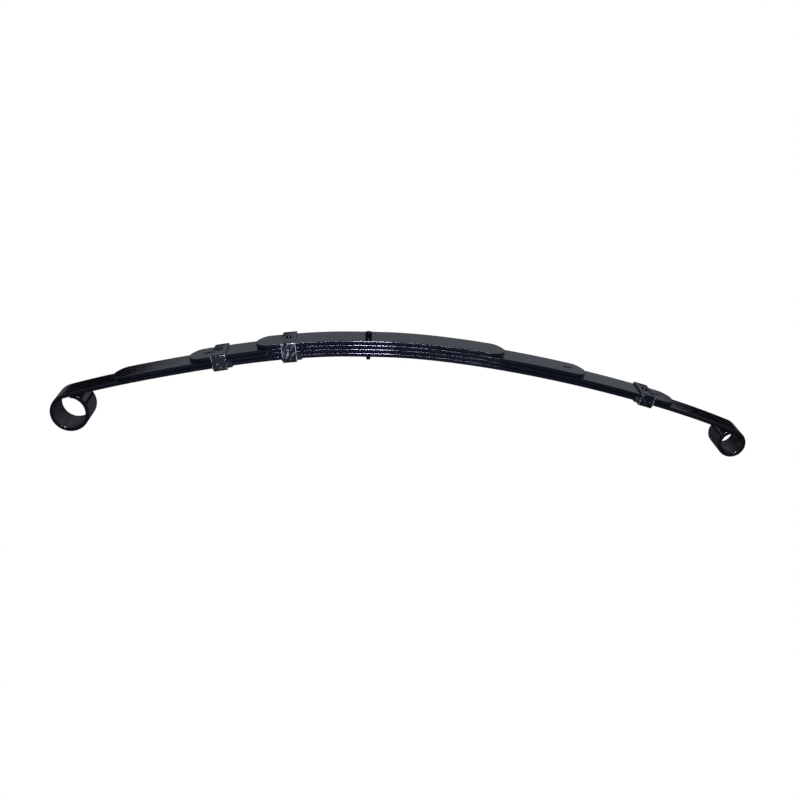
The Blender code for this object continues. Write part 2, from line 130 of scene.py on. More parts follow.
ARMS = {
    "front": Arm(
        side=-1,
        length=0.5542,
        bore=0.0285,
        camber=((0.06, 1.08), (0.18, 0.84), (0.35, 0.53), (0.65, 0.22), (1.0, 0.65)),
    ),
    "rear": Arm(
        side=1,
        length=0.7002,
        bore=0.01905,
        camber=((0.06, 1.115), (0.18, 0.64), (0.35, 0.42), (0.65, 0.38), (1.0, 0.69)),
    ),
}


def standing_on_eyes():
    """From the pack's own axes, which start under the main leaf at the bolt, to the frame's."""
    front, rear = (Vector((a.side * a.eye_centre()[0], 0, a.eye_centre()[1])) for a in ARMS.values())
    front_radius, rear_radius = (a.outer_radius() for a in ARMS.values())
    across = rear - front
    tilt = math.asin((front_radius - rear_radius) / across.length) + math.atan2(across.z, across.x)
    turn = Matrix.Rotation(tilt, 3, "Y")
    front, rear = turn @ front, turn @ rear
    middle = (front.x - front_radius + rear.x + rear_radius) / 2
    return Matrix.Translation((-middle, 0, front_radius - front.z)) @ turn.to_4x4()


STAND = standing_on_eyes()


def linear(hex_colour):
    """A colour written as sRGB hex, as the linear values that a shader takes."""
    shares = (int(hex_colour[i : i + 2], 16) / 255 for i in (1, 3, 5))
    return (*(s / 12.92 if s <= 0.04045 else ((s + 0.055) / 1.055) ** 2.4 for s in shares), 1.0)


def add_node(material, kind, settings, links):
    """Adds a shader node. Settings are socket values or properties, and links are socket: source."""
    node = material.node_tree.nodes.new("ShaderNode" + kind)
    for name, value in settings.items():
        if isinstance(name, int) or name in node.inputs:
            node.inputs[name].default_value = value
        else:
            setattr(node, name, value)
    for name, source in links.items():
        material.node_tree.links.new(source, node.inputs[name])
    return node


def new_material(name):
    material = bpy.data.materials.new(name)
    material.use_nodes = True
    return material, material.node_tree.nodes["Principled BSDF"]


def object_place(material):
    return add_node(material, "TexCoord", {}, {}).outputs["Object"]


def stretched(material, place, sizes):
    """The place counted in steps of these sizes, in metres, along X, Y and Z."""
    scales = tuple(1 / size for size in sizes)
    return add_node(material, "Mapping", {"Scale": scales}, {"Vector": place}).outputs[0]


def noise(material, place, size, detail):
    """A noise whose features are about that size, in metres."""
    settings = {"Scale": 1 / size, "Detail": detail}
    return add_node(material, "TexNoise", settings, {"Vector": place}).outputs[0]


def weighted_sum(material, value, weight, rest):
    settings = {"operation": "MULTIPLY_ADD", 1: weight}
    return add_node(material, "Math", settings, {0: value, 2: rest}).outputs[0]


def product(material, one, other):
    return add_node(material, "Math", {"operation": "MULTIPLY"}, {0: one, 1: other}).outputs[0]


def mapped(material, value, low, high, start=0.0, stop=1.0):
    """Turns a value that runs from start to stop into one that runs from low to high."""
    settings = {"From Min": start, "From Max": stop, "To Min": low, "To Max": high}
    return add_node(material, "MapRange", settings, {"Value": value}).outputs[0]


def tinted(material, share, first, second):
    """A colour that goes from the first to the second as the share goes from 0 to 1."""
    settings = {"data_type": "RGBA", 6: linear(first), 7: linear(second)}
    return add_node(material, "Mix", settings, {0: share}).outputs[2]


def bumped(material, height, strength, depth):
    """The normal over a relief of that depth, in metres."""
    settings = {"Strength": strength, "Distance": depth}
    return add_node(material, "Bump", settings, {"Height": height}).outputs[0]


def surface(material, shader, colour, roughness, normal=None):
    links = material.node_tree.links
    links.new(colour, shader.inputs["Base Color"])
    links.new(roughness, shader.inputs["Roughness"])
    if normal:
        links.new(normal, shader.inputs["Normal"])


def chassis_paint():
    """Black alkyd chassis enamel, dipped and baked over forging scale: a deep bluish black with a
    hard gloss. Orange peel and the scale beneath make its reflections waver and break up."""
    material, shader = new_material("black_chassis_enamel")
    place = object_place(material)
    # orange peel about 4 mm across
    peel = noise(material, place, 0.004, 2.0)
    # scale pits under the paint, about 16 mm apart and half as deep again as the peel
    pits = noise(material, place, 0.016, 1.0)
    # fine grit caught in the paint, about 1 mm across and very shallow
    grit = noise(material, place, 0.0011, 1.0)
    pitted = weighted_sum(material, pits, 1.5, peel)
    relief = weighted_sum(material, grit, 0.03, pitted)
    tone = tinted(material, pits, "#040507", "#0a0b0e")
    gloss = mapped(material, pits, 0.04, 0.09, 0.3, 0.7)
    shader.inputs["IOR"].default_value = ENAMEL_IOR
    surface(material, shader, tone, gloss, bumped(material, relief, 1.0, 0.00005))
    return material


def bore_paint():
    """The thin coat that the dip leaves inside the eyes: a dull black, stained olive and brown in
    bands along the bore where the bare steel under it has started to rust."""
    material, shader = new_material("thin_dull_enamel_in_bore")
    place = object_place(material)
    # the stains run right through the bore, which is along Y, and are about 10 mm apart round it
    along = stretched(material, place, (0.010, 0.08, 0.010))
    stains = noise(material, along, 1.0, 3.0)
    # a grain about 1.2 mm across, where the coat has dried rough
    grain = noise(material, place, 0.0012, 2.0)
    colours = add_node(material, "ValToRGB", {}, {0: stains})
    stops = colours.color_ramp.elements
    stops[0].position, stops[0].color = 0.35, linear("#070b0a")
    stops[1].position, stops[1].color = 0.65, linear("#211e17")
    stops.new(0.5).color = linear("#121513")
    gloss = mapped(material, grain, 0.25, 0.5)
    shader.inputs["IOR"].default_value = THIN_COAT_IOR
    surface(material, shader, colours.outputs[0], gloss, bumped(material, grain, 0.5, 0.00003))
    return material


CHASSIS_PAINT = chassis_paint()
BORE_PAINT = bore_paint()


def cut(bar, axis, places):
    """Cuts right across a bar (axis 0) or lengthwise (axis 1) at each place."""
    normal = Vector((1 - axis, axis, 0))
    for place in places:
        everything = bar.verts[:] + bar.edges[:] + bar.faces[:]
        bmesh.ops.bisect_plane(
            bar, geom=everything, plane_co=normal * place, plane_no=normal, dist=CUT_REACH
        )


def block(length, width, thickness, middle):
    """A box lying at height 0, with its own middle that far along X."""
    box = bmesh.new()
    bmesh.ops.create_cube(box, size=1)
    bmesh.ops.scale(box, vec=(length, width, thickness), verts=box.verts)
    bmesh.ops.translate(box, vec=(middle, 0, thickness / 2), verts=box.verts)
    return box


def round_off(work, geom, radius, segments, affect="EDGES"):
    """Rounds edges or corners. The new faces take the material of the faces beside them."""
    return bmesh.ops.bevel(
        work, geom=geom, offset=radius, segments=segments, profile=0.5, affect=affect, material=-1
    )["faces"]


def flat_bar(length, lines, stations):
    """One arm's length of spring steel flat, from the bolt outwards, with its edges rounded. It is
    cut lengthwise at each line, and across at each (station, step to use up to it)."""
    bar = block(length, LEAF_WIDTH, LEAF_THICKNESS, length / 2)
    rims = [e for e in bar.edges if max(v.co.x for v in e.verts) > 0]
    round_off(bar, rims, EDGE_RADIUS, EDGE_SEGMENTS)
    shading_line = LEAF_WIDTH / 2 - EDGE_RADIUS - SHADING_INSET
    cut(bar, 1, sorted({-shading_line, shading_line, *lines}))
    cut(bar, 0, [station for station, _ in stations])
    low = 0.0
    for high, step in (*stations, (length - EDGE_RADIUS, stations[-1][1])):
        strip = [
            e
            for e in bar.edges
            if abs(min(v.co.x for v in e.verts) - low) < TOUCHING
            and abs(max(v.co.x for v in e.verts) - high) < TOUCHING
        ]
        cuts = max(0, round((high - low) / step) - 1)
        if cuts:
            bmesh.ops.subdivide_edges(bar, edges=strip, cuts=cuts, use_grid_fill=True)
        low = high
    bar.normal_update()
    return bar


def round_lines(radius):
    """Lengthwise lines through a round hole or a slot's end, from one side of it to the other."""
    return [radius * math.sin(math.radians(degrees)) for degrees in (-90, -60, -30, 0, 30, 60, 90)]


def open_bolt_hole(bar):
    """Hollows the bar's inner end to half of the bolt's hole; the other arm has the other half."""
    for vert in bar.verts:
        if vert.co.x < TOUCHING and abs(vert.co.y) < BOLT_HOLE_RADIUS + TOUCHING:
            vert.co.x = math.sqrt(max(0, BOLT_HOLE_RADIUS**2 - vert.co.y**2))


def form(bar, arm, floor):
    """Bends a flat bar over the arch, in the pack's own axes."""
    for vert in bar.verts:
        out, up = arm.point(vert.co.x, vert.co.z + floor)
        vert.co = (arm.side * out, vert.co.y, up)


def new_object(name, work, materials):
    """Turns a finished bmesh into an object at the origin."""
    mesh = bpy.data.meshes.new(name)
    work.to_mesh(mesh)
    work.free()
    for material in materials:
        mesh.materials.append(material)
    made = bpy.data.objects.new(name, mesh)
    bpy.context.scene.collection.objects.link(made)
    return made


def make_piece(name, work, materials):
    """Stands a finished bmesh, made in the pack's axes, in the frame as a named piece. Its faces
    are made to agree with each other, and turned over if they enclose a negative volume."""
    bmesh.ops.recalc_face_normals(work, faces=work.faces)
    if work.calc_volume(signed=True) < 0:
        bmesh.ops.reverse_faces(work, faces=work.faces)
    bmesh.ops.transform(work, matrix=STAND, verts=work.verts)
    piece = new_object(name, work, materials)
    piece.data.shade_smooth()
    piece.data.set_sharp_from_angle(angle=math.radians(SHARP_DEGREES))
    return piece


def bend_with_arm(piece, arm_name):
    """The pack is clamped at the axle and bends from there out to the eye. Here the piece's place is
    only baked into its mesh: where the arm's eye starts is worked out but not used, and nothing is
    bent.
    """
    arm = ARMS[arm_name]
    eye_start = arm.eye_centre()[0] - arm.outer_radius()
    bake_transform(piece)


for arm_name, arm in ARMS.items():
    roll_step = arm.bore * math.radians(ROLL_STEP_DEGREES)
    stations = [(INNER_STRIP, ALONG_STEP), (arm.length, ALONG_STEP)]
    stations.append((arm.length + ROLL_FIRST_STRIP, roll_step))
    bar = flat_bar(arm.length + arm.roll_length(), round_lines(BOLT_HOLE_RADIUS), stations)
    open_bolt_hole(bar)
    for face in bar.faces:
        if face.normal.z < -FACING and face.calc_center_median().x > arm.length:
            face.material_index = 1
    form(bar, arm, 0.0)
    paints = [CHASSIS_PAINT, BORE_PAINT]
    main_leaf = make_piece(f"main_leaf_{arm_name}_arm", bar, paints)
    bend_with_arm(main_leaf, arm_name)
    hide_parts("main_leaf", f"{arm_name}_eye")

# ---- graduated leaves ----
# Three shorter leaves of the same flat, stacked on the main leaf. Their tips are sheared to a
# taper, so that each bears softly on the leaf below, and the second and third have a slot and a
# shallow pocket near each tip for a nylon pad. Painted like the main leaf.
LEAF_TIPS = {
    "second_leaf": {"number": 2, "front": 0.463, "rear": 0.571},
    "third_leaf": {"number": 3, "front": 0.321, "rear": 0.397},
    "fourth_leaf": {"number": 4, "front": 0.1985, "rear": 0.244},
}
PADDED_LEAVES = ("second_leaf", "third_leaf")
TIP_END_WIDTH = 0.016
TIP_TAPER_LENGTH = 0.022
TIP_CORNER_RADIUS = 0.001
TIP_STEP = 0.0015
TIP_LAST_STRIP = 0.0002
TIP_KEPT_SHARE = 0.7
PAD_STEP = 0.0025
PAD_FROM_TIP = 0.0335
PAD_LENGTH = 0.030
PAD_WIDTH = 0.040
PAD_POCKET_DEPTH = 0.0014
SLOT_LENGTH = 0.018
SLOT_WIDTH = 0.0075


def leaf_floor(number):
    return (number - 1) * (LEAF_THICKNESS + LEAF_GAP)


def half_width(reach, tip):
    """Half the width of a leaf at that reach, with its tapered tip and the tip's round corners."""
    half, end = LEAF_WIDTH / 2, TIP_END_WIDTH / 2
    share = max(0, (reach - tip) / TIP_TAPER_LENGTH + 1)
    into_corner = max(0, reach - tip + TIP_CORNER_RADIUS)
    corner = TIP_CORNER_RADIUS - math.sqrt(max(0, TIP_CORNER_RADIUS**2 - into_corner**2))
    return half - (half - end) * share**2 - corner


def taper_tip(bar, tip):
    """Narrows the bar's end. The middle of its width, which holds the pad's pocket, stays."""
    for vert in bar.verts:
        narrow = half_width(vert.co.x, tip)
        kept = min(PAD_WIDTH / 2, narrow * TIP_KEPT_SHARE)
        beyond = abs(vert.co.y) - kept
        if beyond > 0:
            share = beyond / (LEAF_WIDTH / 2 - kept)
            vert.co.y = math.copysign(kept + share * (narrow - kept), vert.co.y)


def faces_within(bar, middle, length, width):
    """Upward and downward faces inside a rectangle of the bar."""
    found = []
    for face in bar.faces:
        centre = face.calc_center_median()
        inside = abs(centre.x - middle) < length / 2 and abs(centre.y) < width / 2
        if inside and abs(face.normal.z) > FACING:
            found.append(face)
    return found


def shift_patch(work, patch, rise):
    """Moves a patch of faces up, with walls around it and nothing left where the patch was."""
    moved = bmesh.ops.extrude_face_region(work, geom=patch)["geom"]
    bmesh.ops.delete(work, geom=patch, context="FACES")
    verts = [v for v in moved if isinstance(v, bmesh.types.BMVert)]
    bmesh.ops.translate(work, vec=(0, 0, rise), verts=verts)
    work.normal_update()


def sink_pad_pocket(bar, middle):
    """Sinks the pad's pocket into the underside, and opens the slot through what is left."""
    floor = [f for f in faces_within(bar, middle, PAD_LENGTH, PAD_WIDTH) if f.normal.z < 0]
    shift_patch(bar, floor, PAD_POCKET_DEPTH)
    radius = SLOT_WIDTH / 2
    gone = faces_within(bar, middle, SLOT_LENGTH, SLOT_WIDTH)
    bmesh.ops.delete(bar, geom=gone, context="FACES")
    for vert in bar.verts:
        past = abs(vert.co.x - middle) - SLOT_LENGTH / 2
        if abs(past) < TOUCHING and abs(vert.co.y) < radius + TOUCHING:
            drawn_in = radius - math.sqrt(max(0, radius**2 - vert.co.y**2))
            vert.co.x -= math.copysign(drawn_in, vert.co.x - middle)
    bmesh.ops.bridge_loops(bar, edges=[e for e in bar.edges if e.is_boundary])


for leaf_name, leaf in LEAF_TIPS.items():
    padded = leaf_name in PADDED_LEAVES
    for arm_name, arm in ARMS.items():
        tip = leaf[arm_name]
        pad_middle = tip - PAD_FROM_TIP
        lines = round_lines(BOLT_HOLE_RADIUS)
        stations = [(INNER_STRIP, ALONG_STEP), (tip - TIP_TAPER_LENGTH, ALONG_STEP)]
        if padded:
            lines += round_lines(SLOT_WIDTH / 2) + [-PAD_WIDTH / 2, PAD_WIDTH / 2]
            for half in (PAD_LENGTH / 2, SLOT_LENGTH / 2):
                stations += [(pad_middle - half, ALONG_STEP), (pad_middle + half, PAD_STEP)]
        stations.append((tip - EDGE_RADIUS - TIP_LAST_STRIP, TIP_STEP))
        bar = flat_bar(tip, lines, sorted(stations))
        open_bolt_hole(bar)
        if padded:
            sink_pad_pocket(bar, pad_middle)
        taper_tip(bar, tip)
        form(bar, arm, leaf_floor(leaf["number"]))
        piece = make_piece(f"{leaf_name}_{arm_name}_arm", bar, [CHASSIS_PAINT])
        bend_with_arm(piece, arm_name)
        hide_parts(leaf_name)

# ---- tip pads ----
# Thin anti-squeak pads of moulded black nylon. Each lies in its pocket under a leaf's tip and is
# held by a tongue that snaps up into the slot.
PAD_CLEARANCE = 0.0003
PAD_EDGE_RADIUS = 0.0003
PAD_EDGE_SEGMENTS = 2
TONGUE_BELOW_FACE = 0.0035
NYLON_IOR = 1.53


def moulded_nylon():
    """Black glass-filled nylon, injection moulded: a dull black with a faint satin sheen, over the
    spark-eroded grain of the mould."""
    material, shader = new_material("black_moulded_nylon")
    place = object_place(material)
    # the mould's grain, about 0.6 mm across
    grain = noise(material, place, 0.0006, 2.0)
    # flow marks about 9 mm apart
    flow = noise(material, place, 0.009, 2.0)
    tone = tinted(material, flow, "#0a0b0e", "#17191d")
    sheen = mapped(material, flow, 0.3, 0.5)
    shader.inputs["IOR"].default_value = NYLON_IOR
    surface(material, shader, tone, sheen, bumped(material, grain, 0.6, 0.00004))
    return material


NYLON = moulded_nylon()

for leaf_name in PADDED_LEAVES:
    for arm_name, arm in ARMS.items():
        middle = LEAF_TIPS[leaf_name][arm_name] - PAD_FROM_TIP
        length, width = PAD_LENGTH - 2 * PAD_CLEARANCE, PAD_WIDTH - 2 * PAD_CLEARANCE
        thickness = PAD_POCKET_DEPTH - PAD_CLEARANCE
        tongue_length, tongue_width = SLOT_LENGTH - SLOT_WIDTH, SLOT_WIDTH - 2 * PAD_CLEARANCE
        pad = block(length, width, thickness, middle)
        round_off(pad, pad.edges[:], PAD_EDGE_RADIUS, PAD_EDGE_SEGMENTS)
        cut(pad, 1, (-tongue_width / 2, tongue_width / 2))
        cut(pad, 0, (middle - tongue_length / 2, middle, middle + tongue_length / 2))
        pad.normal_update()
        top = [f for f in faces_within(pad, middle, tongue_length, tongue_width) if f.normal.z > 0]
        shift_patch(pad, top, LEAF_THICKNESS - TONGUE_BELOW_FACE - thickness)
        form(pad, arm, leaf_floor(LEAF_TIPS[leaf_name]["number"]))
        piece = make_piece(f"{arm_name}_{leaf_name}_tip_pad", pad, [NYLON])
        bend_with_arm(piece, arm_name)
        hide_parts(f"{arm_name}_{leaf_name}_pad")

# ---- centre bolt and nut ----
# The bolt that holds the pack together and locates it on the axle: cold-headed steel with a plain
# round head, a plain shank through the leaves and a rolled thread, black oxide finished and oiled.
# A chamfered hexagon nut in dull zinc holds it under the main leaf.
BOLT_RADIUS = 0.00395
BOLT_HEAD_RADIUS = 0.006
BOLT_HEAD_HEIGHT = 0.0085
BOLT_BELOW_LEAF = 0.0138
BOLT_CHAMFER = 0.0008
THREAD_PITCH = 0.00125
THREAD_DEPTH = 0.0006
THREAD_START = 0.0004
SHANK_INTO_THREAD = 0.0001
NUT_ACROSS_FLATS = 0.0127
NUT_THICKNESS = 0.0067
NUT_CHAMFER_SHARE = 0.96
NUT_CHAMFER_DEGREES = 30.0
TURN_STEPS = 48


def black_oxide():
    """Black oxide on cold-headed steel: a dark metal that stays shiny where it was drawn through
    the die, with a soft mottling where the oil has dried unevenly."""
    material, shader = new_material("oiled_black_oxide_steel")
    place = object_place(material)
    # dried oil in patches about 2.5 mm across
    mottle = noise(material, place, 0.0025, 4.0)
    # the oxide's own grain, about 0.5 mm across
    grain = noise(material, place, 0.0005, 2.0)
    tone = tinted(material, mottle, "#1d1e23", "#383a42")
    gloss = mapped(material, mottle, 0.18, 0.42)
    shader.inputs["Metallic"].default_value = 1.0
    surface(material, shader, tone, gloss, bumped(material, grain, 0.5, 0.000015))
    return material


def dull_zinc():
    """Barrel-plated zinc that has dulled: a soft grey metal with a fine crystalline mottling."""
    material, shader = new_material("dull_zinc_plate")
    place = object_place(material)
    # zinc crystals about 1.2 mm across
    crystals = add_node(material, "TexVoronoi", {"Scale": 1 / 0.0012}, {"Vector": place})
    # dulled patches about 4 mm across
    haze_and_painted_shade = noise(material, place, 0.004, 3.0)
    tone = tinted(material, crystals.outputs["Distance"], "#6f7173", "#8f9294")
    shader.inputs["Metallic"].default_value = 1.0
    surface(material, shader, tone, mapped(material, haze_and_painted_shade, 0.35, 0.6))
    return material


BLACK_OXIDE = black_oxide()
ZINC = dull_zinc()


def turned(work, profile):
    """Turns a line of (radius, height) points about Z, and closes its poles."""
    verts = [work.verts.new((radius, 0, height)) for radius, height in profile]
    edges = [work.edges.new(pair) for pair in zip(verts, verts[1:])]
    bmesh.ops.spin(
        work,
        geom=verts + edges,
        cent=(0, 0, 0),
        axis=(0, 0, 1),
        angle=2 * math.pi,
        steps=TURN_STEPS,
        use_merge=True,
    )
    bmesh.ops.remove_doubles(work, verts=work.verts, dist=TOUCHING)


def rolled_thread(work, high, low):
    """A helical thread between two heights: a line of teeth spun round once as it climbs one
    pitch, so that each tooth runs into the next, then cut square and capped."""
    crest, root = BOLT_RADIUS, BOLT_RADIUS - THREAD_DEPTH
    # where a tooth's flanks start and end, as shares of the pitch
    tooth = ((0.06, crest), (0.44, root), (0.62, root), (1.0, crest))
    teeth = []
    place = low - 2 * THREAD_PITCH
    while place < high + THREAD_PITCH:
        for share, radius in tooth:
            teeth.append((radius, place + share * THREAD_PITCH))
        place += THREAD_PITCH
    verts = [work.verts.new((radius, 0, height)) for radius, height in teeth]
    edges = [work.edges.new(pair) for pair in zip(verts, verts[1:])]
    bmesh.ops.spin(
        work,
        geom=verts + edges,
        cent=(0, 0, 0),
        axis=(0, 0, 1),
        angle=2 * math.pi,
        steps=TURN_STEPS,
        dvec=(0, 0, THREAD_PITCH / TURN_STEPS),
    )
    bmesh.ops.remove_doubles(work, verts=work.verts, dist=TOUCHING)
    for height, side in ((high, 1), (low, -1)):
        everything = work.verts[:] + work.edges[:] + work.faces[:]
        made = bmesh.ops.bisect_plane(
            work,
            geom=everything,
            plane_co=(0, 0, height),
            plane_no=(0, 0, side),
            clear_outer=True,
            dist=CUT_REACH,
        )
        rim = [e for e in made["geom_cut"] if isinstance(e, bmesh.types.BMEdge)]
        bmesh.ops.contextual_create(work, geom=rim)
    for vert in work.verts:
        allowed = crest - max(0, BOLT_CHAMFER - (vert.co.z - low))
        radius = math.hypot(vert.co.x, vert.co.y)
        if radius > allowed:
            vert.co.x *= allowed / radius
            vert.co.y *= allowed / radius


pack_top = leaf_floor(4) + LEAF_THICKNESS
head_floor = pack_top + LEAF_GAP
head_top = head_floor + BOLT_HEAD_HEIGHT
bolt = bmesh.new()
rolled_thread(bolt, -THREAD_START, -BOLT_BELOW_LEAF)
shank = bmesh.new()
turned(
    shank,
    [
        (0, head_top),
        (BOLT_HEAD_RADIUS - BOLT_CHAMFER, head_top),
        (BOLT_HEAD_RADIUS - BOLT_CHAMFER / 3, head_top - BOLT_CHAMFER / 3),
        (BOLT_HEAD_RADIUS, head_top - BOLT_CHAMFER),
        (BOLT_HEAD_RADIUS, head_floor + BOLT_CHAMFER / 3),
        (BOLT_HEAD_RADIUS - BOLT_CHAMFER / 3, head_floor),
        (BOLT_RADIUS, head_floor),
        (BOLT_RADIUS, -THREAD_START + SHANK_INTO_THREAD),
        (0, -THREAD_START + SHANK_INTO_THREAD),
    ],
)
shank_mesh = bpy.data.meshes.new("shank")
shank.to_mesh(shank_mesh)
shank.free()
bolt.from_mesh(shank_mesh)
bpy.data.meshes.remove(shank_mesh)
centre_bolt = make_piece("centre_bolt_with_thread", bolt, [BLACK_OXIDE])
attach(centre_bolt, "spring_pack")
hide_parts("centre_bolt")

nut = bmesh.new()
flat = NUT_ACROSS_FLATS / 2
low, high = -LEAF_GAP - NUT_THICKNESS, -LEAF_GAP
bore, chamfer = BOLT_HOLE_RADIUS, flat * NUT_CHAMFER_SHARE
upper = [(bore, high), (chamfer, high), (flat, high)]
lower = [(flat, low), (chamfer, low), (bore, low)]
turned(nut, [*upper, *lower, upper[0]])
for vert in nut.verts:
    radius = math.hypot(vert.co.x, vert.co.y)
    if radius > (chamfer + flat) / 2:
        from_flat = (math.atan2(vert.co.y, vert.co.x) + math.pi / 6) % (math.pi / 3) - math.pi / 6
        hexagon = flat / math.cos(from_flat)
        drop = (hexagon - chamfer) * math.tan(math.radians(NUT_CHAMFER_DEGREES))
        vert.co.x *= hexagon / radius
        vert.co.y *= hexagon / radius
        vert.co.z += -drop if vert.co.z > (low + high) / 2 else drop
centre_nut = make_piece("centre_bolt_hex_nut", nut, [ZINC])
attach(centre_nut, "spring_pack")
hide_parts("centre_bolt_nut")

# ---- rebound clips ----
# Each clip is a mild steel strap bent over the pack and folded under the main leaf, painted with
# the pack and scuffed where its ends were hammered over. Inside is a moulded nylon channel, longer
# towards the bolt, and a semi-tubular rivet holds the strap to the clip's shortest leaf.
# each clip's enamel colour is painted light and shade: the same enamel, lightest on the front outer
# clip and darkest on the rear one
CLIPS = {
    "front_outer": {"arm": "front", "station": 0.265, "leaves": 3, "wear": 0.5, "haze_and_painted_shade": "#141817"},
    "front_inner": {"arm": "front", "station": 0.140, "leaves": 4, "wear": 1.0, "haze_and_painted_shade": "#0d1011"},
    "rear": {"arm": "rear", "station": 0.514, "leaves": 2, "wear": 0.2, "haze_and_painted_shade": "#06080a"},
}
STRAP_WIDTH = 0.0254
STRAP_THICKNESS = 0.003
STRAP_BEND_RADIUS = 0.0045
STRAP_TAB_LENGTH = 0.020
STRAP_EDGE_RADIUS = 0.0004
BEND_SEGMENTS = 6
END_SEGMENTS = 2
LINER_FLOOR = 0.002
LINER_WALL = 0.0015
LINER_WALL_HEIGHT = 0.009
LINER_TOWARDS_BOLT = 0.009
LINER_TOWARDS_TIP = 0.002
LINER_EDGE_RADIUS = 0.0004
RIVET_RADIUS = 0.003
RIVET_HEAD_RADIUS = 0.0057
RIVET_HEAD_HEIGHT = 0.0028
RIVET_HEAD_EDGE = 0.0004
# the rivet's dimple and rolled lip, from the middle out, as (radius, depth below the crown)
RIVET_DIMPLE = ((0.0, 0.0014), (0.001425, 0.0013), (0.0019, 0.0006), (0.0022, 0.0001), (0.0027, 0.0))
GAP = 0.0003
SCUFF_EDGES = (0.39, 0.51)
SCUFF_SPREAD = 0.12


def leg_share(material):
    """How far a face looks sideways: 1 on the strap's legs, 0 on its top."""
    facing = add_node(material, "NewGeometry", {}, {})
    sides = add_node(material, "SeparateXYZ", {}, {0: facing.outputs["True Normal"]})
    return add_node(material, "Math", {"operation": "ABSOLUTE"}, {0: sides.outputs["Y"]}).outputs[0]


def scuffed_paint(name, wear, haze_and_painted_shade):
    """The same black enamel on bent strip. The legs, which the hammer and the assembly jig have
    rubbed, are scuffed and scratched down to grey primer, the more so the higher the wear. The
    haze and painted shade is the unscuffed enamel's colour: painted light and shade, the same
    enamel set lighter or darker on each clip."""
    material, shader = new_material(name)
    place = object_place(material)
    # drawn scratches run up and down the legs, about 1 mm wide and 12 mm long
    drawn = stretched(material, place, (0.0011, 0.0011, 0.012))
    scratches = noise(material, drawn, 1.0, 3.0)
    # they come in rubbed patches about 6 mm across
    patches = noise(material, place, 0.006, 4.0)
    # orange peel about 3 mm across
    peel = noise(material, place, 0.003, 2.0)
    low, high = (edge - SCUFF_SPREAD * wear for edge in SCUFF_EDGES)
    rubbed = mapped(material, product(material, scratches, patches), 0.0, 1.0, low, high)
    scuffs = product(material, rubbed, leg_share(material))
    # painted shade: the unscuffed enamel takes its clip's lighter or darker colour, and the scuffs go
    # to grey primer
    tone = tinted(material, scuffs, haze_and_painted_shade, "#6a7075")
    gloss = mapped(material, scuffs, 0.16, 0.4)
    shader.inputs["IOR"].default_value = ENAMEL_IOR
    surface(material, shader, tone, gloss, bumped(material, peel, 1.0, 0.00008))
    return material


def rim_highlight_paint():
    """The strip's sheared rims, painted with a light grey highlight in ragged patches on the legs,
    where the rounded rim would glint.
    """
    material, shader = new_material("painted_highlight_on_sheared_rim")
    # painted highlight patches about 7 mm apart, with ragged edges
    highlight_patches = noise(material, object_place(material), 0.007, 5.0)
    highlighted = mapped(material, highlight_patches, 0.0, 1.0, 0.38, 0.48)
    rim_highlight = product(material, highlighted, leg_share(material))
    # painted highlight: the legs' rims go from near black to light grey in these patches
    tone = tinted(material, rim_highlight, "#14181a", "#c3c6cb")
    surface(material, shader, tone, mapped(material, rim_highlight, 0.12, 0.5))
    return material


PAINTED_RIM_HIGHLIGHT = rim_highlight_paint()


def profile_bar(corners, rounded, low, high, edge):
    """A bar along X whose section has these (across, up) corners. Rounded says which corners are
    bent, as {place in the list: radius}, and edge is the small radius round both ends."""
    bar = bmesh.new()
    verts = [bar.verts.new((low, across, up)) for across, up in corners]
    bar.faces.new(verts)
    for radius in sorted(set(rounded.values())):
        bends = [verts[i] for i, r in rounded.items() if r == radius]
        round_off(bar, bends, radius, BEND_SEGMENTS, "VERTICES")
    section = bar.faces[:]
    made = bmesh.ops.extrude_face_region(bar, geom=section)["geom"]
    moved = [v for v in made if isinstance(v, bmesh.types.BMVert)]
    bmesh.ops.translate(bar, vec=(high - low, 0, 0), verts=moved)
    ends = [e for e in bar.edges if abs(e.verts[0].co.x - e.verts[1].co.x) < TOUCHING]
    for face in round_off(bar, ends, edge, END_SEGMENTS):
        face.material_index = 1
    return bar


def clip_place(clip):
    """Stands a clip made about its own origin square to the arch at its station."""
    arm = ARMS[clip["arm"]]
    out, up = arm.point(clip["station"], 0.0)
    lean = Matrix.Rotation(arm.side * arm.slope_at(clip["station"]), 4, "Y")
    return Matrix.Translation((arm.side * out, 0, up)) @ lean


def strap_bar(stack):
    """The strap, folded round a stack of leaves that high, with a tab under each side."""
    inner = LEAF_WIDTH / 2 + LINER_WALL + 2 * GAP
    low, high = -LINER_FLOOR - 2 * GAP, stack + GAP
    outer = inner + STRAP_THICKNESS
    outer_low, outer_high = low - STRAP_THICKNESS, high + STRAP_THICKNESS
    tab = inner - STRAP_TAB_LENGTH
    right = [(tab, outer_low), (outer, outer_low), (outer, outer_high)]
    inside = [(-tab, low), (-inner, low), (-inner, high), (inner, high), (inner, low), (tab, low)]
    left = [(-outer, outer_high), (-outer, outer_low), (-tab, outer_low)]
    inner_bend = STRAP_BEND_RADIUS - STRAP_THICKNESS
    bends = {place: STRAP_BEND_RADIUS for place in (1, 2, 3, 4)}
    bends.update({place: inner_bend for place in (7, 8, 9, 10)})
    half = STRAP_WIDTH / 2
    return profile_bar(right + left + inside, bends, -half, half, STRAP_EDGE_RADIUS)


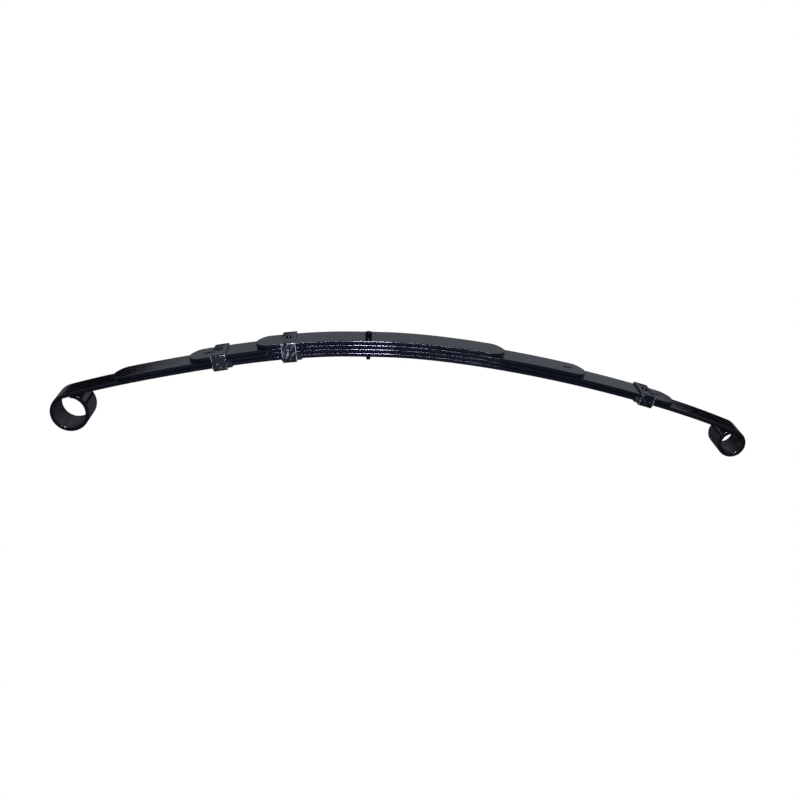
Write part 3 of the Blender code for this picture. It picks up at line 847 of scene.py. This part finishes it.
def liner_bar(side):
    """The liner's channel under the main leaf, standing further out of the strap towards the bolt."""
    inner, low, high = LEAF_WIDTH / 2 + GAP, -GAP, LINER_WALL_HEIGHT
    outer, outer_low = inner + LINER_WALL, low - LINER_FLOOR
    right = [(outer, outer_low), (outer, high), (inner, high), (inner, low)]
    left = [(-across, up) for across, up in reversed(right)]
    corner = STRAP_BEND_RADIUS - STRAP_THICKNESS
    to_bolt = -side * (STRAP_WIDTH / 2 + LINER_TOWARDS_BOLT)
    to_tip = side * (STRAP_WIDTH / 2 + LINER_TOWARDS_TIP)
    start, end = sorted((to_bolt, to_tip))
    return profile_bar(right + left, {0: corner, 7: corner}, start, end, LINER_EDGE_RADIUS)


def rivet_turning(stack, leaves):
    """A domed head with the rolled lip and dimple of a semi-tubular rivet, and its shank."""
    floor = stack + STRAP_THICKNESS + 2 * GAP
    foot = leaf_floor(leaves) + GAP
    top = floor + RIVET_HEAD_HEIGHT
    profile = [(radius, top - depth) for radius, depth in RIVET_DIMPLE]
    lip = RIVET_DIMPLE[-1][0]
    for degrees in (15, 30, 45, 60, 75, 90):
        turn = math.radians(degrees)
        drop = (RIVET_HEAD_HEIGHT - RIVET_HEAD_EDGE) * (1 - math.cos(turn))
        profile.append((lip + (RIVET_HEAD_RADIUS - lip) * math.sin(turn), top - drop))
    profile += [(RIVET_HEAD_RADIUS, floor), (RIVET_RADIUS, floor), (RIVET_RADIUS, foot), (0, foot)]
    rivet = bmesh.new()
    turned(rivet, profile)
    return rivet


for clip_name, clip in CLIPS.items():
    stack = leaf_floor(clip["leaves"]) + LEAF_THICKNESS
    paint = scuffed_paint(f"scuffed_enamel_on_{clip_name}_strap", clip["wear"], clip["haze_and_painted_shade"])
    liner, rivet = liner_bar(ARMS[clip["arm"]].side), rivet_turning(stack, clip["leaves"])
    # a bar's rims take its second material: on the strap the painted rim highlight, on the liner
    # nylon too
    pieces = (
        ("strap", strap_bar(stack), [paint, PAINTED_RIM_HIGHLIGHT], "gloss_black_paint", "clip"),
        ("liner", liner, [NYLON, NYLON], "black_nylon", "clip_liner"),
        ("rivet", rivet, [BLACK_OXIDE], "satin_black_steel", "clip_rivet"),
    )
    for piece_name, work, materials, slot, node in pieces:
        bmesh.ops.transform(work, matrix=clip_place(clip), verts=work.verts)
        piece = make_piece(f"{clip_name}_{piece_name}", work, materials)
        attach(piece, f"{clip_name}_clip_set")
        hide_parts(f"{clip_name}_{node}")

# ---- studio ----
# A white table lit from below under an even white sky, with two soft lights high in front. The
# gloss mirrors a far reflector, hung a little askew. Behind, it is grey above a narrow black band
# and dull violet under it, and in front it is blue low down.
FLOOR_SIZE = 80.0
DOME_RADIUS = 60.0
DOME_LEAN = 5.8
DOME_SEGMENTS = (48, 32)
SKY_STRENGTH = 1.0
# the reflector's colours, as (degrees above the horizon, colour), from straight down to straight up
FRONT_BANDS = (
    (-90, "#08090b"),
    (-42, "#0c0d10"),
    (-26, "#3c4c68"),
    (-14, "#5a719b"),
    (-3, "#0c0d10"),
    (90, "#70757c"),
)
BACK_BANDS = (
    (-90, "#1c1a1b"),
    (-32, "#2e2b2e"),
    (-14, "#55515a"),
    (3.0, "#66636c"),
    (4.2, "#08090a"),
    (9.3, "#08090a"),
    (10.0, "#868b93"),
    (18, "#8c9199"),
    (35, "#959ba3"),
    (90, "#70757c"),
)
LIGHTS = {
    "soft_front_light": {"place": (-0.06, -1.7, 1.75), "size": (0.22, 0.3), "watts": 60.0},
    "wide_front_light": {"place": (0.0, -1.7, 1.75), "size": (1.5, 0.12), "watts": 75.0},
}
LIGHT_TINT = "#dcd6ff"
LIGHT_TARGET = (0.0, 0.0, 0.17)
# the reflector's front darkens to the sides, from one to the other of these slopes, by this share
FRONT_FADE_SLOPES = (0.12, 0.24)
FRONT_FADE_SHARE = 0.7
FRONT_FADE_COLOUR = "#08090b"
# the camera, in metres and degrees, with its lens in millimetres
CAMERA_TARGET = (-0.0058, 0.0, 0.0747)
CAMERA_DISTANCE = 2.0686
CAMERA_AZIMUTH = 2.60
CAMERA_ELEVATION = 19.53
CAMERA_ROLL = 3.19
CAMERA_LENS = 50.54
CAMERA_REACH = 200.0


def bare_material(name):
    material = bpy.data.materials.new(name)
    material.use_nodes = True
    material.node_tree.nodes.clear()
    return material


def stage_piece(name, work, material):
    made = new_object(name, work, [material])
    return made


floor_glow = bare_material("white_lit_table")
white = add_node(floor_glow, "Emission", {"Color": linear("#ffffff"), "Strength": SKY_STRENGTH}, {})
add_node(floor_glow, "OutputMaterial", {}, {"Surface": white.outputs[0]})
floor_sheet = bmesh.new()
bmesh.ops.create_grid(floor_sheet, x_segments=1, y_segments=1, size=FLOOR_SIZE / 2)
studio_floor = stage_piece("studio_floor", floor_sheet, floor_glow)
studio_floor.visible_glossy = False

dome_glow = bare_material("reflector_dome")
place = object_place(dome_glow)
lean = math.radians(DOME_LEAN)
parts = add_node(
    dome_glow,
    "VectorMath",
    {"operation": "DOT_PRODUCT", 1: (math.sin(lean), 0, math.cos(lean))},
    {0: place},
)
height = mapped(dome_glow, parts.outputs["Value"], 0.0, 1.0, -DOME_RADIUS, DOME_RADIUS)
halves = []
for bands in (FRONT_BANDS, BACK_BANDS):
    ramp = add_node(dome_glow, "ValToRGB", {}, {0: height})
    stops = ramp.color_ramp.elements
    for degrees, colour in bands:
        where = (math.sin(math.radians(degrees)) + 1) / 2
        if abs(degrees) == 90:
            stop = stops[0] if degrees < 0 else stops[-1]
        else:
            stop = stops.new(where)
        stop.color = linear(colour)
    halves.append(ramp.outputs[0])
sides = add_node(dome_glow, "SeparateXYZ", {}, {0: place})
across, away = sides.outputs["X"], sides.outputs["Y"]
slope = add_node(dome_glow, "Math", {"operation": "DIVIDE"}, {0: across, 1: away})
spread = add_node(dome_glow, "Math", {"operation": "ABSOLUTE"}, {0: slope.outputs[0]})
fade = mapped(dome_glow, spread.outputs[0], 0.0, FRONT_FADE_SHARE, *FRONT_FADE_SLOPES)
settings = {"data_type": "RGBA", 7: linear(FRONT_FADE_COLOUR)}
halves[0] = add_node(dome_glow, "Mix", settings, {0: fade, 6: halves[0]}).outputs[2]
behind = add_node(dome_glow, "Math", {"operation": "GREATER_THAN", 1: 0.0}, {0: away})
whole = add_node(
    dome_glow, "Mix", {"data_type": "RGBA"}, {0: behind.outputs[0], 6: halves[0], 7: halves[1]}
)
glow = add_node(dome_glow, "Emission", {}, {"Color": whole.outputs[2]})
add_node(dome_glow, "OutputMaterial", {}, {"Surface": glow.outputs[0]})
dome_shell = bmesh.new()
around, upwards = DOME_SEGMENTS
bmesh.ops.create_uvsphere(dome_shell, u_segments=around, v_segments=upwards, radius=DOME_RADIUS)
dome = stage_piece("reflector_dome", dome_shell, dome_glow)
for ray in ("camera", "diffuse", "shadow", "transmission", "volume_scatter"):
    setattr(dome, "visible_" + ray, False)

sky = bpy.data.worlds.new("white_sky")
bpy.context.scene.world = sky
sky.use_nodes = True
sky.node_tree.nodes["Background"].inputs["Color"].default_value = linear("#ffffff")
sky.node_tree.nodes["Background"].inputs["Strength"].default_value = SKY_STRENGTH

for light_name, lamp in LIGHTS.items():
    light = bpy.data.lights.new(light_name, "AREA")
    light.shape = "RECTANGLE"
    light.size, light.size_y = lamp["size"]
    light.color = linear(LIGHT_TINT)[:3]
    light.energy = lamp["watts"]
    hung = bpy.data.objects.new(light_name, light)
    bpy.context.scene.collection.objects.link(hung)
    hung.location = lamp["place"]
    hung.rotation_mode = "QUATERNION"
    aim = Vector(LIGHT_TARGET) - hung.location
    hung.rotation_quaternion = aim.to_track_quat("-Z", "Y")

camera = bpy.data.objects.new("camera", bpy.data.cameras.new("camera"))
bpy.context.scene.collection.objects.link(camera)
azimuth, elevation = math.radians(CAMERA_AZIMUTH), math.radians(CAMERA_ELEVATION)
look = Vector(
    (
        math.sin(azimuth) * math.cos(elevation),
        math.cos(azimuth) * math.cos(elevation),
        -math.sin(elevation),
    )
)
camera.location = Vector(CAMERA_TARGET) - look * CAMERA_DISTANCE
camera.rotation_mode = "QUATERNION"
roll = Quaternion((0, 0, 1), math.radians(CAMERA_ROLL))
camera.rotation_quaternion = look.to_track_quat("-Z", "Y") @ roll
camera.data.lens = CAMERA_LENS
camera.data.clip_end = CAMERA_REACH
bpy.context.scene.camera = camera
bpy.context.scene.view_settings.view_transform = "Standard"
